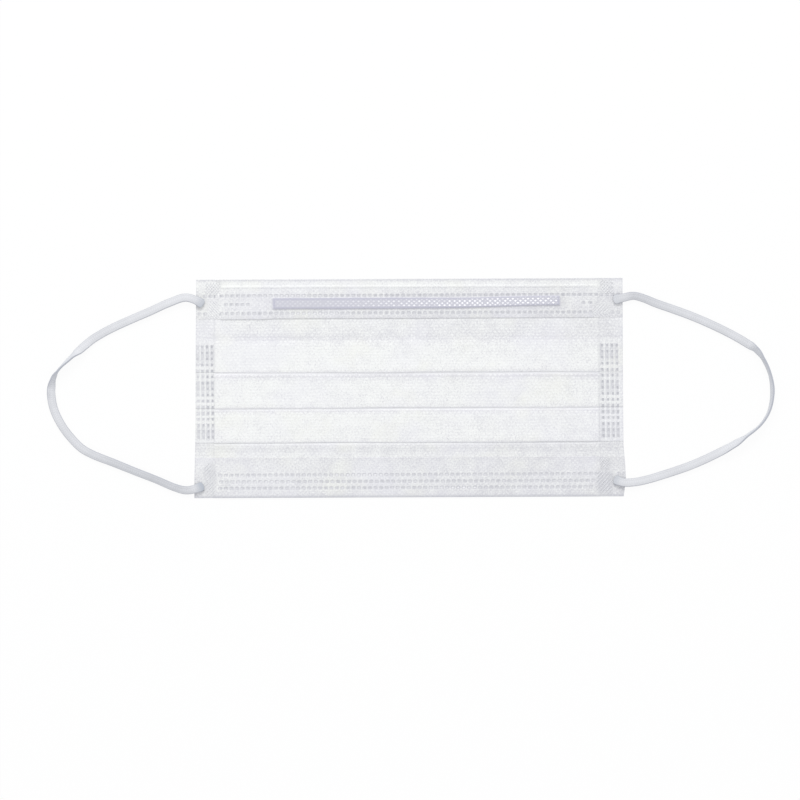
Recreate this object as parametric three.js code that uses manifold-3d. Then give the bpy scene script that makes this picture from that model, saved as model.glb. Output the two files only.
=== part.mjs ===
// Pleated surgical face mask, lying flat with its front up.
// Millimetres. +X across the mask, +Y towards the nose wire, +Z up from the surface that it lies on.
// The origin is under the middle of the pleated panel.

import * as THREE from "three";
import Module from "manifold-3d";
import { mergeVertices } from "three/addons/utils/BufferGeometryUtils.js";

const wasm = await Module();
wasm.setup();

// Sheet
const panelWidth = 175; // across the mask, side weld to side weld
const wall = 1.0; // all layers of the sheet together
const layerGap = 0.2; // air between folded layers
const pieceGap = 0.3; // clearance between separate pieces

// Pleats, counted from the nose wire down
const pleatCount = 3;
const pleatPitch = 14.6; // from one fold line to the next
const singleStrip = 1.9; // strip under each fold line where the sheet lies single
const upperBand = 8.2; // single sheet between the top hem and the first pleat
const lowerBand = 5.9; // single sheet between the last fold line and the bottom hem

// Hems: the sheet turned over to the front
const bottomHemDepth = 15.8;
const topHemMargin = 2.25; // flat edge of the top hem, below its slope
const topHemSlope = 2.5; // where the top hem comes down from the wire to the sheet

// Nose wire, a flat strip in the top hem
const wireLength = 117.5;
const wireWidth = 4.1;
const wireThickness = 0.6;
const wireFromTop = 9.9; // top edge of the mask to the middle of the wire
const wireOffset = 2.9; // the wire's middle, right of the mask's middle
const wireSideGap = 0.5; // between the wire's lower edge and the hem's slope

// Side welds, where the folded layers are pressed together
const weldWidth = 8.2;
const weldSlope = 1.5; // from the loose layers down to the pressed ones
const weldedLayer = 0.4; // what each further layer adds once pressed
const weldOverlap = 0.4; // how far the loose layers run into the weld
const rowStep = 0.4; // length of the step between two rows of a weld

// Ear loops, flat elastic
const loopWidth = 3.1;
const loopThickness = 1.1;
const loopRise = 0.2; // room under the lying elastic, which tilts a little along its way
const loopSteps = 60;

// Facets
const foldSteps = 6;
const slopeSteps = 8;

// Sizes that follow from those above
const layerStep = wall + layerGap;
const foldRadius = (layerStep + wall) / 2;
const pleatDepth = pleatPitch - singleStrip;
const wireLayer = wall + pieceGap + wireThickness + pieceGap + wall / 2;
const topFoldRadius = (wireLayer + wall / 2) / 2;
const topHemDepth = wireFromTop + wireWidth / 2 + wireSideGap + topHemSlope + topHemMargin;
const panelHeight =
  topHemDepth + upperBand + pleatDepth + (pleatCount - 1) * pleatPitch + lowerBand + bottomHemDepth;
const topEdge = panelHeight / 2;
const bottomEdge = -panelHeight / 2;
const topHemEdge = topEdge - topHemDepth;
const bottomHemEdge = bottomEdge + bottomHemDepth;
const weldInside = panelWidth / 2 - weldWidth;

// Height of the middle of a layer, counted from 0 at the bottom
function layerHeight(layer) {
  return wall / 2 + layer * layerStep;
}

// Visible lower edge of a pleat
function frontFold(pleat) {
  return topHemEdge - upperBand - pleatDepth - pleat * pleatPitch;
}

// Hidden upper fold of a pleat
function backFold(pleat) {
  return frontFold(pleat) + pleatDepth;
}

// Middle line of the sheet across the folds, from the free edge of the top hem
// round the mask to the free edge of the bottom hem. Each point keeps its direction.
function sheetLine() {
  const line = [];

  function addPoint(y, z, alongY, alongZ) {
    const length = Math.hypot(alongY, alongZ);
    line.push({ y, z, alongY: alongY / length, alongZ: alongZ / length });
  }

  function addSlope(fromY, fromZ, toY, toZ) {
    for (let step = 0; step <= slopeSteps; step += 1) {
      const share = step / slopeSteps;
      const rise = share * share * (3 - 2 * share);
      const steepness = 6 * share * (1 - share);
      addPoint(
        fromY + (toY - fromY) * share,
        fromZ + (toZ - fromZ) * rise,
        toY - fromY,
        (toZ - fromZ) * steepness,
      );
    }
  }

  // A half turn whose outside reaches edgeY, from one height to another
  function addFold(edgeY, outward, fromZ, toZ) {
    const radius = Math.abs(toZ - fromZ) / 2;
    const middleZ = (fromZ + toZ) / 2;
    const middleY = edgeY - outward * (radius + wall / 2);
    for (let step = 0; step <= foldSteps; step += 1) {
      const angle = (Math.PI * step) / foldSteps;
      addPoint(
        middleY + outward * radius * Math.sin(angle),
        middleZ + (fromZ - middleZ) * Math.cos(angle),
        outward * radius * Math.cos(angle),
        (middleZ - fromZ) * Math.sin(angle),
      );
    }
  }

  addPoint(topHemEdge, layerHeight(1), 1, 0);
  const slopeStart = topHemEdge + topHemMargin;
  addSlope(slopeStart, layerHeight(1), slopeStart + topHemSlope, wireLayer);
  addFold(topEdge, 1, wireLayer, layerHeight(0));
  for (let pleat = 0; pleat < pleatCount; pleat += 1) {
    const climbStart = backFold(pleat) + singleStrip + foldRadius;
    addSlope(climbStart, layerHeight(0), backFold(pleat) - foldRadius, layerHeight(2));
    addFold(frontFold(pleat), -1, layerHeight(2), layerHeight(1));
    addFold(backFold(pleat), 1, layerHeight(1), layerHeight(0));
  }
  addFold(bottomEdge, -1, layerHeight(0), layerHeight(1));
  addPoint(bottomHemEdge, layerHeight(1), 1, 0);
  return line;
}

// The folded sheet between the side welds
function foldedSheet() {
  const line = sheetLine();
  const side = (point, sign) =>
    new THREE.Vector2(
      point.y - (sign * point.alongZ * wall) / 2,
      point.z + (sign * point.alongY * wall) / 2,
    );
  const section = new THREE.Shape([
    ...line.map((point) => side(point, 1)),
    ...line.map((point) => side(point, -1)).reverse(),
  ]);
  const length = 2 * (weldInside + weldOverlap);
  const geometry = new THREE.ExtrudeGeometry(section, { depth: length, bevelEnabled: false });
  geometry.translate(0, 0, -length / 2);
  geometry.applyMatrix4(
    new THREE.Matrix4().makeBasis(
      new THREE.Vector3(0, 1, 0),
      new THREE.Vector3(0, 0, 1),
      new THREE.Vector3(1, 0, 0),
    ),
  );
  return geometry;
}

// Height of a number of layers once they are pressed together
function weldedHeight(layers) {
  return wall + (layers - 1) * weldedLayer;
}

// Stations down a side weld: the height at its inner border, where the loose layers run in, and when pressed
function weldStations() {
  const intoLayer = wall / 2;
  const hemTop = wireLayer + wall / 2;
  const stations = [];

  function addStation(y, layers, looseTop) {
    stations.push({ y, inner: looseTop - intoLayer, pressed: weldedHeight(layers) });
  }

  function addRow(fromY, toY, layers, looseTop) {
    addStation(fromY - rowStep / 2, layers, looseTop);
    addStation(toY + rowStep / 2, layers, looseTop);
  }

  const looseHeight = (layers) => layerHeight(layers - 1) + wall / 2;
  addStation(topEdge, 1, wall + intoLayer);
  addStation(topEdge - topFoldRadius, 2, hemTop);
  addStation(topHemEdge + topHemMargin + topHemSlope, 2, hemTop);
  addRow(topHemEdge + topHemMargin, topHemEdge, 2, looseHeight(2));
  addRow(topHemEdge, backFold(0), 1, looseHeight(2));
  for (let pleat = 0; pleat < pleatCount; pleat += 1) {
    addRow(backFold(pleat), frontFold(pleat), 3, looseHeight(3));
    const next = pleat + 1 < pleatCount ? backFold(pleat + 1) : bottomHemEdge;
    addRow(frontFold(pleat), next, 1, looseHeight(2));
  }
  addRow(bottomHemEdge, bottomEdge + foldRadius, 2, looseHeight(2));
  addStation(bottomEdge, 1, wall + intoLayer);
  return stations;
}

// One side weld as a closed slab with a stepped top, side is 1 on the right and -1 on the left
function sideWeld(side) {
  const stations = weldStations();
  const columns = [
    { x: weldInside, height: (station) => station.inner },
    { x: weldInside + weldSlope, height: (station) => station.pressed },
    { x: panelWidth / 2, height: (station) => station.pressed },
  ];
  const points = [];
  for (const station of stations) {
    for (const column of columns) {
      points.push(side * column.x, station.y, 0);
      points.push(side * column.x, station.y, column.height(station));
    }
  }
  const last = columns.length - 1;
  const low = (row, column) => 2 * (row * columns.length + column);
  const high = (row, column) => low(row, column) + 1;
  const faces = [];

  function addQuad(a, b, c, d) {
    faces.push(...(side > 0 ? [a, b, c, a, c, d] : [a, c, b, a, d, c]));
  }

  for (let row = 0; row + 1 < stations.length; row += 1) {
    for (let column = 0; column < last; column += 1) {
      addQuad(high(row, column), high(row + 1, column), high(row + 1, column + 1), high(row, column + 1));
      addQuad(low(row, column), low(row, column + 1), low(row + 1, column + 1), low(row + 1, column));
    }
    addQuad(low(row, 0), low(row + 1, 0), high(row + 1, 0), high(row, 0));
    addQuad(low(row, last), high(row, last), high(row + 1, last), low(row + 1, last));
  }
  for (let column = 0; column < last; column += 1) {
    const end = stations.length - 1;
    addQuad(low(0, column), high(0, column), high(0, column + 1), low(0, column + 1));
    addQuad(low(end, column), low(end, column + 1), high(end, column + 1), high(end, column));
  }
  const geometry = new THREE.BufferGeometry();
  geometry.setAttribute("position", new THREE.Float32BufferAttribute(points, 3));
  geometry.setIndex(faces);
  return geometry;
}

// Closed geometry to a solid for joining
function toSolid(geometry) {
  const bare = geometry.clone();
  bare.deleteAttribute("normal");
  bare.deleteAttribute("uv");
  const merged = mergeVertices(bare, 1e-4);
  return new wasm.Manifold(
    new wasm.Mesh({
      numProp: 3,
      vertProperties: new Float32Array(merged.attributes.position.array),
      triVerts: new Uint32Array(merged.index.array),
    }),
  );
}

// Solid back to geometry
function toGeometry(solid) {
  const mesh = solid.getMesh();
  const geometry = new THREE.BufferGeometry();
  geometry.setAttribute("position", new THREE.BufferAttribute(mesh.vertProperties, 3));
  geometry.setIndex(new THREE.BufferAttribute(mesh.triVerts, 1));
  geometry.computeVertexNormals();
  return geometry;
}

// The pleated panel: the folded sheet held by its two side welds
function pleatedPanel() {
  const solid = toSolid(foldedSheet()).add(toSolid(sideWeld(1))).add(toSolid(sideWeld(-1)));
  return toGeometry(solid);
}

// The nose wire: a flat strip with round edges, run along X
function noseWire() {
  const edge = wireThickness / 2;
  const straight = wireWidth / 2 - edge;
  const section = new THREE.Shape();
  section.absarc(straight, 0, edge, -Math.PI / 2, Math.PI / 2, false);
  section.absarc(-straight, 0, edge, Math.PI / 2, (3 * Math.PI) / 2, false);
  const geometry = new THREE.ExtrudeGeometry(section, {
    depth: wireLength,
    bevelEnabled: false,
    curveSegments: foldSteps,
  });
  geometry.translate(0, 0, -wireLength / 2);
  geometry.applyMatrix4(
    new THREE.Matrix4().makeBasis(
      new THREE.Vector3(0, 1, 0),
      new THREE.Vector3(0, 0, 1),
      new THREE.Vector3(1, 0, 0),
    ),
  );
  return geometry;
}

// Routes of the ear loops, from the upper corner round to the lower one.
// x and y are chosen by hand; lift runs from 0 on the surface to 1 on the corner of the panel.
const leftRoute = [
  { x: -84.0, y: 34.2, lift: 1 },
  { x: -87.5, y: 36.2, lift: 1 },
  { x: -91.5, y: 37.1, lift: 0.8 },
  { x: -97.8, y: 35.1, lift: 0.15 },
  { x: -106.4, y: 31.3, lift: 0 },
  { x: -115.1, y: 27.6, lift: 0 },
  { x: -123.1, y: 23.9, lift: 0 },
  { x: -129.4, y: 20.2, lift: 0 },
  { x: -134.0, y: 16.4, lift: 0 },
  { x: -138.0, y: 13.0, lift: 0 },
  { x: -143.2, y: 7.8, lift: 0 },
  { x: -145.2, y: 4.6, lift: 0 },
  { x: -146.3, y: -0.2, lift: 0 },
  { x: -146.1, y: -4.8, lift: 0 },
  { x: -144.9, y: -9.4, lift: 0 },
  { x: -142.0, y: -15.1, lift: 0 },
  { x: -138.6, y: -19.7, lift: 0 },
  { x: -134.0, y: -24.3, lift: 0 },
  { x: -129.4, y: -26.9, lift: 0 },
  { x: -120.8, y: -30.3, lift: 0 },
  { x: -112.2, y: -33.8, lift: 0 },
  { x: -103.6, y: -37.2, lift: 0 },
  { x: -96.1, y: -40.4, lift: 0.25 },
  { x: -91.5, y: -41.6, lift: 0.8 },
  { x: -87.5, y: -41.0, lift: 1 },
  { x: -84.3, y: -39.8, lift: 1 },
];
const rightRoute = [
  { x: 83.4, y: 35.4, lift: 1 },
  { x: 87.5, y: 36.3, lift: 1 },
  { x: 91.7, y: 37.0, lift: 0.8 },
  { x: 95.7, y: 36.0, lift: 0.35 },
  { x: 100.9, y: 33.9, lift: 0 },
  { x: 108.3, y: 31.3, lift: 0 },
  { x: 115.8, y: 28.5, lift: 0 },
  { x: 123.8, y: 25.0, lift: 0 },
  { x: 131.3, y: 21.3, lift: 0 },
  { x: 138.0, y: 17.4, lift: 0 },
  { x: 141.6, y: 14.8, lift: 0 },
  { x: 144.6, y: 10.7, lift: 0 },
  { x: 147.1, y: 4.9, lift: 0 },
  { x: 148.1, y: -1.3, lift: 0 },
  { x: 147.6, y: -7.1, lift: 0 },
  { x: 146.0, y: -11.9, lift: 0 },
  { x: 142.8, y: -16.3, lift: 0 },
  { x: 138.2, y: -19.9, lift: 0 },
  { x: 132.4, y: -23.8, lift: 0 },
  { x: 125.0, y: -27.8, lift: 0 },
  { x: 115.2, y: -32.2, lift: 0 },
  { x: 103.7, y: -36.1, lift: 0 },
  { x: 96.0, y: -38.3, lift: 0.3 },
  { x: 91.5, y: -39.1, lift: 0.8 },
  { x: 87.5, y: -39.2, lift: 1 },
  { x: 83.4, y: -37.8, lift: 1 },
];

// One ear loop: an eight-sided flat section run along its route
function earLoop(route) {
  const onSurface = loopRise + loopThickness / 2;
  const onCorner = weldedHeight(2) + pieceGap + loopThickness / 2;
  const path = new THREE.CatmullRomCurve3(
    route.map(({ x, y, lift }) => new THREE.Vector3(x, y, onSurface + lift * (onCorner - onSurface))),
    false,
    "centripetal",
  );
  const halfWidth = loopWidth / 2;
  const halfThickness = loopThickness / 2;
  const flatWidth = halfWidth - halfThickness / 2;
  const sideHeight = halfThickness / 2;
  const section = new THREE.Shape([
    new THREE.Vector2(-halfThickness, -flatWidth),
    new THREE.Vector2(-sideHeight, -halfWidth),
    new THREE.Vector2(sideHeight, -halfWidth),
    new THREE.Vector2(halfThickness, -flatWidth),
    new THREE.Vector2(halfThickness, flatWidth),
    new THREE.Vector2(sideHeight, halfWidth),
    new THREE.Vector2(-sideHeight, halfWidth),
    new THREE.Vector2(-halfThickness, flatWidth),
  ]);
  return new THREE.ExtrudeGeometry(section, {
    steps: loopSteps,
    extrudePath: path,
    bevelEnabled: false,
  });
}

// Materials
const nonwoven = new THREE.MeshStandardMaterial({ color: 0xf1f2f4, roughness: 0.9, metalness: 0 });
const wireCoat = new THREE.MeshStandardMaterial({ color: 0xd3d4de, roughness: 0.45, metalness: 0 });
const elastic = new THREE.MeshStandardMaterial({ color: 0xe4e6ea, roughness: 0.85, metalness: 0 });

// Assembly
const mask = new THREE.Group();

function addPiece(name, geometry, material) {
  const piece = new THREE.Mesh(geometry, material);
  piece.name = name;
  mask.add(piece);
  return piece;
}

addPiece("pleated_panel", pleatedPanel(), nonwoven);
const wire = addPiece("nose_wire", noseWire(), wireCoat);
wire.position.set(wireOffset, topEdge - wireFromTop, wall + pieceGap + wireThickness / 2);
addPiece("ear_loop_left", earLoop(leftRoute), elastic);
addPiece("ear_loop_right", earLoop(rightRoute), elastic);

export default mask;
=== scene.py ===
# %% [markdown]
# # A pleated surgical face mask
#
# The mask is a flat rectangle of nonwoven polypropylene with three knife pleats. The lining is turned over
# the top and bottom edges as two hems, a flat wire runs in the top hem, rows of small ultrasonic welds hold
# the hems and the sides, and an elastic loop is welded on at each end.
#
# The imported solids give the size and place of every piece. This script dresses them: each cell makes one
# piece or one finish, and the text before it says why it is made that way. Lengths are in metres.

# %% Load the solids
import math

import bpy
import bmesh
import numpy as np
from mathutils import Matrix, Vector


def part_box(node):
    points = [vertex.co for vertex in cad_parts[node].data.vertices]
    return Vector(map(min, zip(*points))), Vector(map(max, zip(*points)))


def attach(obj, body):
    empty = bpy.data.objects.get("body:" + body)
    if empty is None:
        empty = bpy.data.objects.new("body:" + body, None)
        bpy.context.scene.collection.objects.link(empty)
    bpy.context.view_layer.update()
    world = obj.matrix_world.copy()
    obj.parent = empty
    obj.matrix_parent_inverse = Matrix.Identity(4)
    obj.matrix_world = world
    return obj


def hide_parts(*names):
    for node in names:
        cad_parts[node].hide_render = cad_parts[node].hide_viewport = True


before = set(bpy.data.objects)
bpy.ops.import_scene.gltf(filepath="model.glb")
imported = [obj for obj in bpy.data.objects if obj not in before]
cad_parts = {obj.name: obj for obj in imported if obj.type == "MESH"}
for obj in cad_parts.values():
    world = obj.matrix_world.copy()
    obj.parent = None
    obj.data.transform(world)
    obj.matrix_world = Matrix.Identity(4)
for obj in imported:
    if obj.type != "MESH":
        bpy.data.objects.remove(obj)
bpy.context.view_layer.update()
panel_low, panel_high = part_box("pleated_panel")
print("panel", [round(high - low, 4) for low, high in zip(panel_low, panel_high)])

MM = 0.001
BODY = "root"
PANEL_WIDTH = panel_high[0] - panel_low[0]
TOP_EDGE = panel_high[1] - 0.08 * MM
BOTTOM_EDGE = panel_low[1] - 0.38 * MM

# %% [markdown]
# ## Camera
#
# The photograph looks straight down on the mask. Its panel is 428 pixels wide, which gives the scale, and
# the whole mask is turned a quarter of a degree in the frame. A long lens keeps the edges upright.

# %% Camera
FRAME_PIXELS = 800
PANEL_PIXELS = 428
PANEL_MIDDLE_PIXEL = (409.5, 387.5)
FRAME_MIDDLE_PIXEL = (400.0, 400.0)
PHOTO_TURN = math.radians(0.25)
LENS = 100.0
SENSOR = 36.0
PIXEL = PANEL_WIDTH / PANEL_PIXELS


def add_object(name, data):
    thing = bpy.data.objects.new(name, data)
    bpy.context.collection.objects.link(thing)
    return thing


camera_data = bpy.data.cameras.new("camera")
camera_data.lens = LENS
camera_data.sensor_width = SENSOR
camera = add_object("camera", camera_data)
camera.location = (
    (FRAME_MIDDLE_PIXEL[0] - PANEL_MIDDLE_PIXEL[0]) * PIXEL,
    (PANEL_MIDDLE_PIXEL[1] - FRAME_MIDDLE_PIXEL[1]) * PIXEL,
    FRAME_PIXELS * PIXEL * LENS / SENSOR,
)
camera.rotation_euler = (0, 0, -PHOTO_TURN)
bpy.context.scene.camera = camera
print("camera height", round(camera.location.z, 3))

# %% [markdown]
# ## Helpers
#
# Small curves for blending, then the two ways in which a mesh comes about here: from a block of points, or
# grown by a Geometry Nodes tree from a few points and edges and turned into a plain mesh.

# %% Helpers for blending
def smooth(low, high, value):
    """0 below low, 1 above high, and a soft S between."""
    share = np.clip((np.asarray(value, float) - low) / (high - low), 0.0, 1.0)
    return share * share * (3 - 2 * share)


def hill(value, middle, half):
    """A bell of height 1 round middle."""
    return np.exp(-(((np.asarray(value, float) - middle) / half) ** 2))


def reach(x, y, middle, half):
    """0 in the middle of a rounded rectangle, 1 on its border and more outside."""
    return (((x - middle[0]) / half[0]) ** 4 + ((y - middle[1]) / half[1]) ** 4) ** 0.25


# %% Helpers for meshes
SHARP_ANGLE = math.radians(50)


def new_piece(name, mesh):
    """Object at the origin, shaded smooth but for its sharp edges."""
    piece = add_object(name, mesh)
    mesh.shade_smooth()
    mesh.set_sharp_from_angle(angle=SHARP_ANGLE)
    triangles = sum(len(face.vertices) - 2 for face in mesh.polygons)
    print(name, "has", triangles, "triangles")
    return piece


def ring_block(name, block, ends=None):
    """Closed mesh from block[column, ring point], with the faces of ends on its first and last column."""
    columns, ring = block.shape[:2]
    index = np.arange(columns * ring).reshape(columns, ring)
    here = index[:-1]
    beyond = index[1:]
    quads = np.stack(
        [here, np.roll(here, -1, axis=1), np.roll(beyond, -1, axis=1), beyond], axis=-1
    ).reshape(-1, 4)
    first = [index[0][face].tolist()[::-1] for face in ends or [range(ring)]]
    last = [index[-1][face].tolist() for face in ends or [range(ring)]]
    mesh = bpy.data.meshes.new(name)
    mesh.from_pydata(block.reshape(-1, 3).tolist(), [], quads.tolist() + first + last)
    work = bmesh.new()
    work.from_mesh(mesh)
    bmesh.ops.recalc_face_normals(work, faces=work.faces)
    work.to_mesh(mesh)
    work.free()
    return new_piece(name, mesh)


def store_values(mesh, name, values):
    """One number for each point, for the materials and the trees to read."""
    attribute = mesh.attributes.new(name, "FLOAT", "POINT")
    attribute.data.foreach_set("value", np.ascontiguousarray(values, dtype=np.float32).ravel())


def read_values(mesh, name):
    values = np.empty(len(mesh.vertices), dtype=np.float32)
    mesh.attributes[name].data.foreach_get("value", values)
    return values


def store_map(mesh, across, along):
    """UV map in metres along the cloth, so that a pattern follows its folds."""
    layer = mesh.uv_layers.new(name="cloth")
    corners = np.empty(len(mesh.loops), dtype=np.int32)
    mesh.loops.foreach_get("vertex_index", corners)
    flat = np.stack([across.ravel()[corners], along.ravel()[corners]], axis=-1)
    layer.data.foreach_set("uv", flat.astype(np.float32).ravel())


# %% Helpers for nodes
def fill(socket, value):
    """Link another socket to this one, or set it to a number, a text or a colour given without alpha."""
    if isinstance(value, bpy.types.NodeSocket):
        socket.id_data.links.new(value, socket)
    elif socket.type == "RGBA":
        socket.default_value = (*value, 1.0)
    else:
        socket.default_value = value


def add_node(tree, kind, inputs=(), **settings):
    """New node with its settings, its inputs linked to sockets or set to values."""
    node = tree.nodes.new(kind)
    for key, value in settings.items():
        setattr(node, key, value)
    for key, value in inputs.items() if isinstance(inputs, dict) else enumerate(inputs):
        fill(node.inputs[key], value)
    return node


class Tree:
    """A Geometry Nodes tree with named inputs, ending in Realize Instances and Set Material."""

    def __init__(self, name, sizes):
        self.tree = bpy.data.node_groups.new(name, "GeometryNodeTree")
        self.socket("Seeds", "INPUT", "NodeSocketGeometry")
        for key, value in sizes.items():
            kind = "NodeSocketInt" if isinstance(value, int) else "NodeSocketFloat"
            self.socket(key, "INPUT", kind).default_value = value
        self.socket("Finish", "INPUT", "NodeSocketMaterial")
        self.socket("Made", "OUTPUT", "NodeSocketGeometry")
        self.given = self.node("NodeGroupInput").outputs
        self.out = self.node("NodeGroupOutput").inputs["Made"]

    def socket(self, name, direction, kind):
        return self.tree.interface.new_socket(name, in_out=direction, socket_type=kind)

    def node(self, kind, inputs=(), **settings):
        return add_node(self.tree, kind, inputs, **settings)

    def math(self, operation, *values):
        return self.node("ShaderNodeMath", values, operation=operation).outputs[0]

    def times(self, first, second):
        return self.math("MULTIPLY", first, second)

    def vector(self, operation, *values):
        node = self.node("ShaderNodeVectorMath", values, operation=operation)
        return node.outputs["Value" if operation == "DOT_PRODUCT" else "Vector"]

    def scaled(self, vector, factor):
        node = self.node("ShaderNodeVectorMath", {0: vector, "Scale": factor}, operation="SCALE")
        return node.outputs["Vector"]

    def read(self, name, kind="FLOAT"):
        node = self.node("GeometryNodeInputNamedAttribute", {"Name": name}, data_type=kind)
        return node.outputs["Attribute"]

    def keep(self, geometry, name, value, kind="FLOAT"):
        """Store a value on the points under a name."""
        kept = {"Name": name, "Geometry": geometry, "Value": value}
        node = self.node("GeometryNodeStoreNamedAttribute", kept, data_type=kind, domain="POINT")
        return node.outputs["Geometry"]

    def finish(self, geometry):
        real = self.node("GeometryNodeRealizeInstances", {"Geometry": geometry}).outputs["Geometry"]
        dressed = {"Geometry": real, "Material": self.given["Finish"]}
        fill(self.out, self.node("GeometryNodeSetMaterial", dressed).outputs["Geometry"])


def grow(name, tree, points, edges, values, sizes, material):
    """Plain mesh that a tree makes from points and edges that carry the given values."""
    seeds = bpy.data.meshes.new(name + "_seeds")
    seeds.from_pydata([tuple(point) for point in points], edges, [])
    for key, numbers in values.items():
        store_values(seeds, key, numbers)
    carrier = add_object(name + "_seeds", seeds)
    modifier = carrier.modifiers.new("grow", "NODES")
    modifier.node_group = tree.tree
    items = tree.tree.interface.items_tree
    sockets = {item.name: item.identifier for item in items if item.in_out == "INPUT"}
    for key, value in sizes.items():
        modifier[sockets[key]] = value
    modifier[sockets["Finish"]] = material
    depsgraph = bpy.context.evaluated_depsgraph_get()
    mesh = bpy.data.meshes.new_from_object(carrier.evaluated_get(depsgraph))
    mesh.name = name
    bpy.data.objects.remove(carrier)
    return new_piece(name, mesh)


# %% [markdown]
# ## Ear loops
#
# Each loop is a flat knitted elastic, about 3 mm wide and 1 mm thick. It lies loose on the table, turns over
# on itself at its far end and is melted onto the panel's corners. The route is a short list.
# Its last column turns the ribbon about its own line, so that it can lie flat, stand on edge and flip.

# %% Routes of the ear loops
LOOP_WIDTH = 3.4 * MM
LOOP_THICKNESS = 1.0 * MM
CORNER_HEIGHT = 0.25 * MM

# x and y in millimetres, lift from 0 on the table to 1 on the panel's corner, turn in degrees
LEFT_ROUTE = (
    (-84.0, 34.2, 1, 4), (-87.5, 36.2, 1, 6), (-91.5, 37.1, 0.8, 12), (-97.8, 35.1, 0.15, 12),
    (-106.4, 31.3, 0, 8), (-115.1, 27.6, 0, 4), (-123.1, 23.9, 0, 0), (-129.4, 20.2, 0, 2),
    (-134.0, 16.4, 0, 16), (-138.0, 13.0, 0, 62), (-143.2, 7.8, 0, 84), (-145.2, 4.6, 0, 112),
    (-146.3, -0.2, 0, 154), (-146.1, -4.8, 0, 174), (-144.9, -9.4, 0, 182), (-142.0, -15.1, 0, 184),
    (-138.6, -19.7, 0, 184), (-134.0, -24.3, 0, 186), (-129.4, -26.9, 0, 192),
    (-120.8, -30.3, 0, 200), (-112.2, -33.8, 0, 206), (-103.6, -37.2, 0, 208),
    (-96.1, -40.4, 0.25, 206), (-91.5, -41.6, 0.8, 196), (-87.5, -41.0, 1, 184),
    (-84.3, -39.8, 1, 180),
)
RIGHT_ROUTE = (
    (83.4, 35.4, 1, 0), (87.5, 36.3, 1, 6), (91.7, 37.0, 0.8, 24), (95.7, 36.0, 0.35, 24),
    (100.9, 33.9, 0, 14), (108.3, 31.3, 0, 8), (115.8, 28.5, 0, 4), (123.8, 25.0, 0, 4),
    (131.3, 21.3, 0, 4), (138.0, 17.4, 0, 8), (141.6, 14.8, 0, 56), (144.6, 10.7, 0, 80),
    (147.1, 4.9, 0, 84), (148.1, -1.3, 0, 76), (147.6, -7.1, 0, 82), (146.0, -11.9, 0, 90),
    (142.8, -16.3, 0, 92), (138.2, -19.9, 0, 84), (132.4, -23.8, 0, 44), (125.0, -27.8, 0, 14),
    (115.2, -32.2, 0, 4), (103.7, -36.1, 0, 5), (96.0, -38.3, 0.3, 8), (91.5, -39.1, 0.8, 8),
    (87.5, -39.2, 1, 6), (83.4, -37.8, 1, 0),
)


def smooth_route(rows, per_span=24):
    """Points of a centripetal curve through the rows, with their lift and turn."""
    rows = np.array(rows, float)
    places = rows[:, :2]
    first = 2 * places[0] - places[1]
    last = 2 * places[-1] - places[-2]
    places = np.vstack([first, places, last])
    out = []
    for span in range(1, len(places) - 2):
        p0, p1, p2, p3 = places[span - 1 : span + 3]
        t1 = np.linalg.norm(p1 - p0) ** 0.5
        t2 = t1 + np.linalg.norm(p2 - p1) ** 0.5
        t3 = t2 + np.linalg.norm(p3 - p2) ** 0.5
        for share in np.arange(per_span) / per_span:
            t = t1 + share * (t2 - t1)
            a1 = (t1 - t) / t1 * p0 + t / t1 * p1
            a2 = (t2 - t) / (t2 - t1) * p1 + (t - t1) / (t2 - t1) * p2
            a3 = (t3 - t) / (t3 - t2) * p2 + (t - t2) / (t3 - t2) * p3
            b1 = (t2 - t) / t2 * a1 + t / t2 * a2
            b2 = (t3 - t) / (t3 - t1) * a2 + (t - t1) / (t3 - t1) * a3
            place = (t2 - t) / (t2 - t1) * b1 + (t - t1) / (t2 - t1) * b2
            soft = share * share * (3 - 2 * share)
            rest = rows[span - 1, 2:] + soft * (rows[span, 2:] - rows[span - 1, 2:])
            out.append([*place, *rest])
    out.append(rows[-1])
    return np.array(out)


# %% [markdown]
# ## A tree that knits a ribbon
#
# The ribbon follows a path and its stitches repeat, so Geometry Nodes make it. The path becomes a curve, a
# ring is swept along it, and each point is then set across and out of the path by the sizes of the ribbon:
# flat with round edges, with wales that run along it, slanting stitches in each wale, and thin melted tips.

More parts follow.
